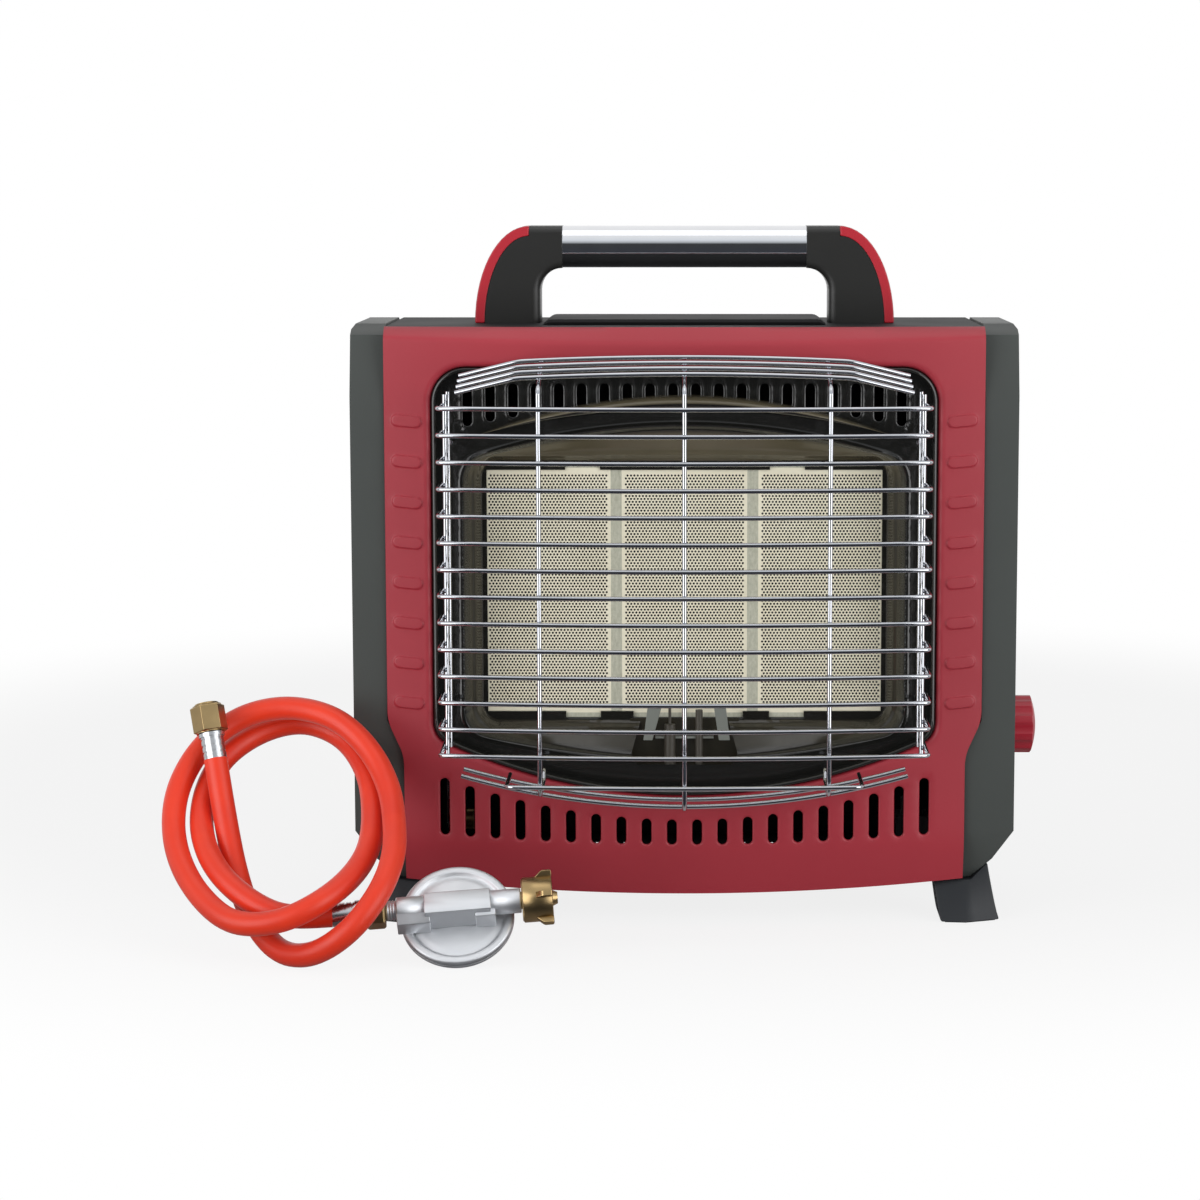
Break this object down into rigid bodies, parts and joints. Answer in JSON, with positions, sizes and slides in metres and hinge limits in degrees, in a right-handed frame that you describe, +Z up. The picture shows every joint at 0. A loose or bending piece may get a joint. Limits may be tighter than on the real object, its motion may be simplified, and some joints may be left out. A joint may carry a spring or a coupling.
{
  "type": "portable propane heater",
  "caption": "Portable radiant gas heater with ceramic plaques behind a wire guard, a carrying handle, a side control knob, and a gas hose with its regulator.",
  "frame": {"origin": "on the floor, under the middle of the heater's box without the hose set", "axes": "+Z up, +X to the heater's right-hand side as seen from its front, where the knob is, and -Y to the front"},
  "size_m": [0.4723, 0.2571, 0.378],
  "materials": {
    "red_enamel": "satin enamel",
    "black_enamel": "gloss enamel",
    "black_sheet": "satin",
    "cap_plastic": "fine satin grain",
    "foot_plastic": "satin",
    "pad_rubber": "matte",
    "box_steel": "plain sheet",
    "plaque_ceramic": "matte, drilled with fine burner holes",
    "gasket_fibre": "matte ceramic fibre",
    "cast_alloy": "die cast",
    "bright_steel": "plated",
    "brass": "machined",
    "copper": "drawn tube",
    "knob_plastic": "gloss",
    "igniter_plastic": "satin",
    "electrode_ceramic": "glazed",
    "guard_chrome": "plated wire",
    "grip_chrome": "plated tube",
    "handle_plastic": "satin",
    "trim_plastic": "gloss",
    "hose_rubber": "satin",
    "regulator_alloy": "satin zinc-plated"
  },
  "bodies": {
    "heater": {"front_panel": "red_enamel", "rear_cover": "black_sheet", "base_pan": "black_sheet", "left_end_cap": "cap_plastic", "right_end_cap": "cap_plastic", "top_plate": "black_sheet", "front_left_foot": "foot_plastic", "front_right_foot": "foot_plastic", "rear_left_foot": "foot_plastic", "rear_right_foot": "foot_plastic", "foot_pads": "pad_rubber", "reflector": "black_enamel", "reflector_hood": "black_enamel", "burner_box": "box_steel", "burner_frame": "black_sheet", "plaque_left": "plaque_ceramic", "plaque_middle": "plaque_ceramic", "plaque_right": "plaque_ceramic", "plaque_gaskets": "gasket_fibre", "mixing_tube": "cast_alloy", "gas_injector": "brass", "gas_valve": "cast_alloy", "inlet_pipe": "copper", "inlet_fitting": "brass", "igniter": "igniter_plastic", "spark_electrode": "electrode_ceramic", "thermocouple": "brass", "pilot_bracket": "bright_steel", "tilt_bracket": "bright_steel", "guard_front_wires": "guard_chrome", "guard_side_returns": "guard_chrome", "guard_uprights": "guard_chrome", "guard_upright_returns": "guard_chrome", "guard_top_wires": "guard_chrome", "guard_bottom_wires": "guard_chrome", "guard_side_wires": "guard_chrome", "handle_tube": "grip_chrome", "handle_arm_left": "handle_plastic", "handle_arm_right": "handle_plastic", "handle_trim_left": "trim_plastic", "handle_trim_right": "trim_plastic", "body_screws": "bright_steel", "handle_screws": "bright_steel"},
    "pushrod": {"valve_pushrod": "brass"},
    "knob": {"valve_stem": "bright_steel", "control_knob": "knob_plastic"},
    "pendulum": {"tilt_pendulum": "brass"},
    "hose_set": {"hose": "hose_rubber", "free_ferrule": "bright_steel", "free_tail": "brass", "regulator_ferrule": "bright_steel", "regulator_nut": "brass", "regulator_body": "regulator_alloy", "regulator_cover": "regulator_alloy", "regulator_diaphragm": "pad_rubber", "cylinder_stem": "brass"},
    "free_nut": {"free_nut": "brass"},
    "cylinder_nut": {"cylinder_nut": "brass"}
  },
  "joints": [
    {"name": "knob_push", "type": "slide", "parent": "heater", "child": "pushrod", "axis": [-1, 0, 0], "range_m": [0, 0.004], "stiffness_N_per_m": 500},
    {"name": "knob_turn", "type": "hinge", "parent": "pushrod", "child": "knob", "pos_m": [0.172, 0.01213, 0.102], "axis": [1, 0, 0], "range_deg": [0, 90]},
    {"name": "tilt_swing", "type": "hinge", "parent": "heater", "child": "pendulum", "pos_m": [-0.133, 0.03213, 0.07], "axis": [1, 0, 0], "range_deg": [-25, 25]},
    {"name": "hose_lift", "type": "slide", "parent": "heater", "child": "hose_set", "axis": [0, 0, 1], "range_m": [0, 0.2]},
    {"name": "free_nut_swivel", "type": "hinge", "parent": "hose_set", "child": "free_nut", "pos_m": [-0.2618, -0.06775, 0.12228], "axis": [-0.1842, 0.3119, 0.9321], "continuous": true},
    {"name": "cylinder_nut_swivel", "type": "hinge", "parent": "hose_set", "child": "cylinder_nut", "pos_m": [-0.08418, -0.12613, 0.03355], "axis": [0.9957, 0.0653, 0.0653], "continuous": true}
  ]
}
